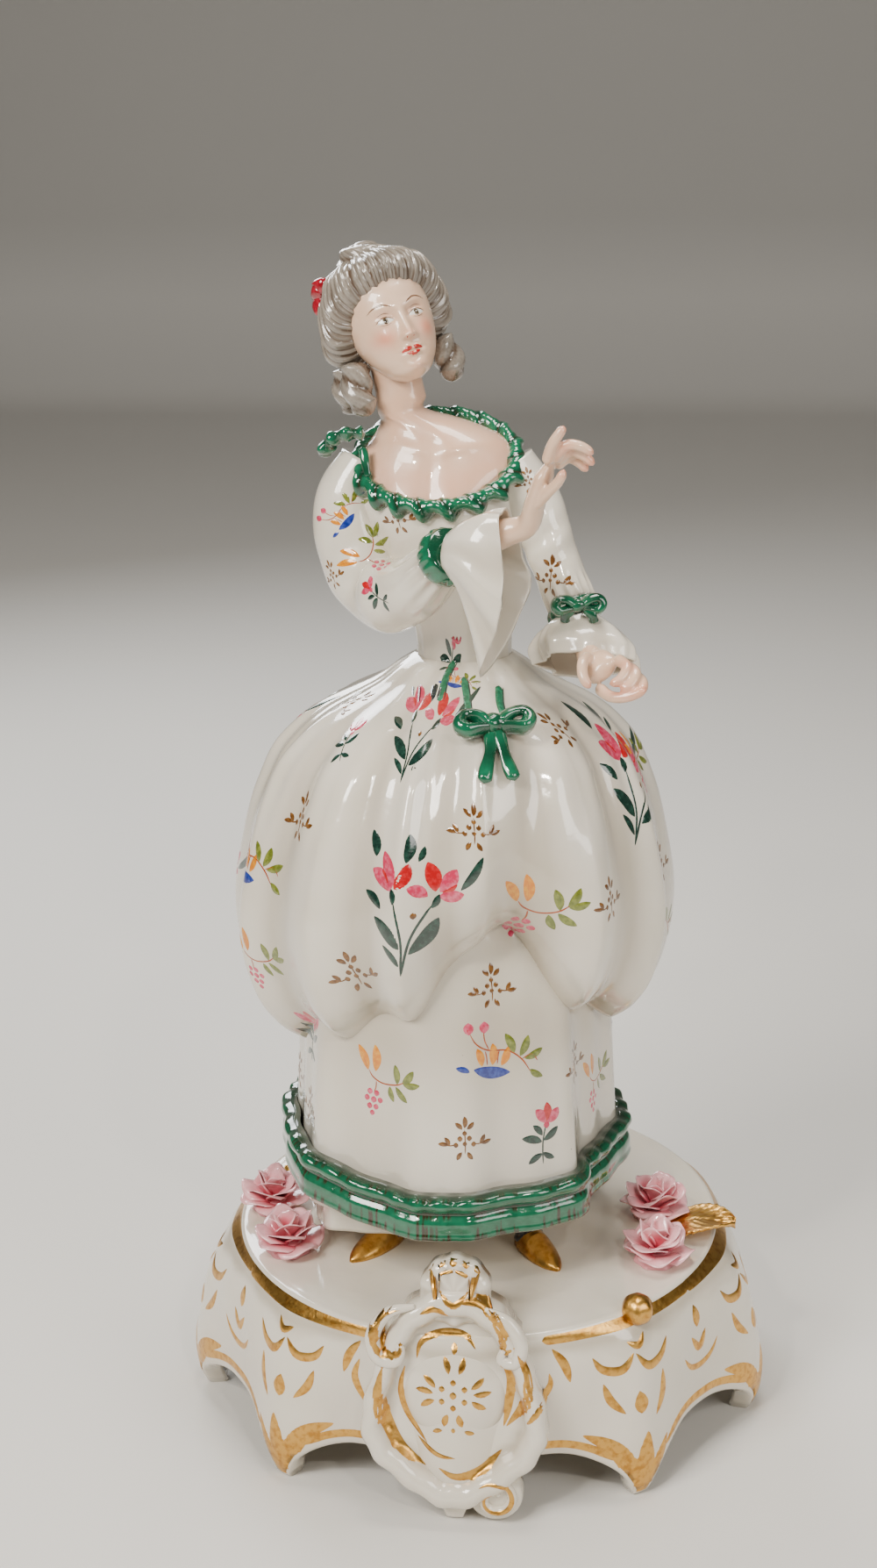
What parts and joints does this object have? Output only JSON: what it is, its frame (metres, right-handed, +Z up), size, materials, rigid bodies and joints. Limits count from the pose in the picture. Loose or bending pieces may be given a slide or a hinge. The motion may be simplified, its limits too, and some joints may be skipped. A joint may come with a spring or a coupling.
{
  "type": "porcelain figurine",
  "caption": "Glazed porcelain figurine of a standing lady in a puffed court dress, one hand raised and one held out, on a hollow scrolled base with modelled roses.",
  "frame": {"origin": "middle of the whole piece's footprint, on the plane of the table", "axes": "+Z up through the figure, -Y to the front with the cartouche, +X to the right of someone who faces it"},
  "size_m": [0.1206, 0.1104, 0.2406],
  "materials": {
    "white_glaze": "high-gloss clear glaze over a warm white body",
    "flesh_glaze": "gloss glaze over a peach flesh tint",
    "hair_glaze": "gloss glaze over grey-brown brushed hair",
    "green_enamel": "gloss emerald overglaze enamel with dark edges",
    "red_enamel": "gloss red overglaze enamel",
    "rose_glaze": "gloss glaze shaded from pink to white",
    "gold_lustre": "burnished gold lustre over the glaze",
    "black_enamel": "gloss black overglaze enamel"
  },
  "bodies": {
    "root": {"bodice": "white_glaze", "bust_and_neck": "flesh_glaze", "cartouche_crest": "white_glaze", "cartouche_frame": "white_glaze", "cartouche_medallion": "white_glaze", "foot_volute": "white_glaze", "hair": "hair_glaze", "hair_bow": "red_enamel", "hair_bun": "hair_glaze", "head": "flesh_glaze", "hem_frill": "green_enamel", "left_back_curl": "hair_glaze", "left_cuff": "white_glaze", "left_front_curl": "hair_glaze", "left_front_rose": "rose_glaze", "left_hand": "flesh_glaze", "left_leaf": "gold_lustre", "left_rear_rose": "rose_glaze", "left_shoe": "gold_lustre", "left_shoulder_ribbon": "green_enamel", "left_sleeve": "white_glaze", "left_sleeve_band": "green_enamel", "left_stocking": "black_enamel", "neckline_ruffle": "green_enamel", "overskirt": "white_glaze", "petticoat": "white_glaze", "right_cuff": "white_glaze", "right_curl": "hair_glaze", "right_front_rose": "rose_glaze", "right_hand": "flesh_glaze", "right_leaf": "gold_lustre", "right_rear_rose": "rose_glaze", "right_shoe": "gold_lustre", "right_sleeve": "white_glaze", "right_sleeve_band": "green_enamel", "right_sleeve_bow": "green_enamel", "right_stocking": "black_enamel", "rim_knob": "gold_lustre", "scroll_base": "white_glaze", "underskirt": "white_glaze", "waist_bow": "green_enamel"}
  },
  "joints": []
}
